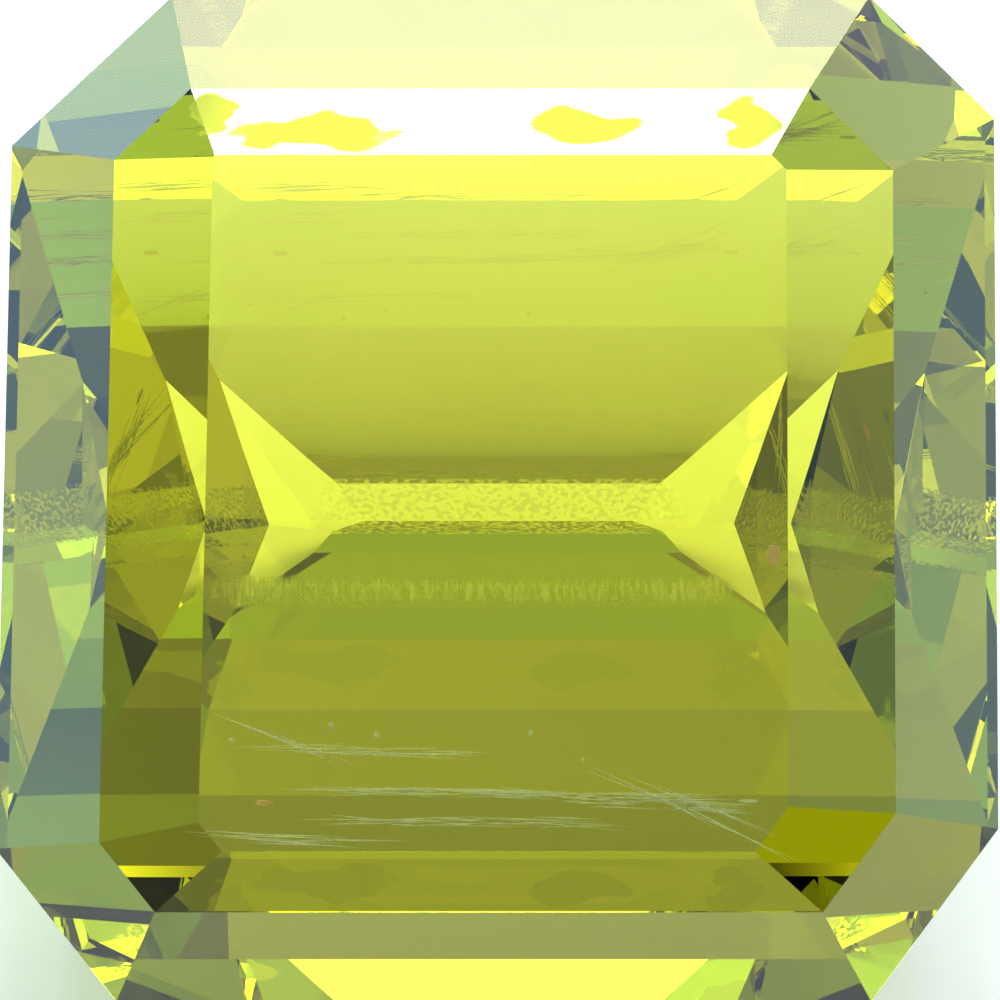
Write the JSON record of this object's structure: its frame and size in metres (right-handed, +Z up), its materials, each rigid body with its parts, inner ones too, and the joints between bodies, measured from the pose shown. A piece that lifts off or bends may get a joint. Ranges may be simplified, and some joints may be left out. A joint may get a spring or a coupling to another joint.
{
  "type": "faceted gemstone",
  "caption": "Square step-cut clear yellow-green gemstone with clipped corners, a broad table, stepped crown and a stepped pavilion ending in a short keel.",
  "frame": {"origin": "centre of the bounding box's foot, on the ground under the stone as it lies on its front pavilion facet", "axes": "+X along the keel, +Z up, and -Y the side that the stone's table faces, tilted up"},
  "size_m": [0.0076, 0.0068, 0.006],
  "materials": {
    "alexandrite": "gem polish"
  },
  "bodies": {
    "root": {"cut_stone": "alexandrite"}
  },
  "joints": []
}
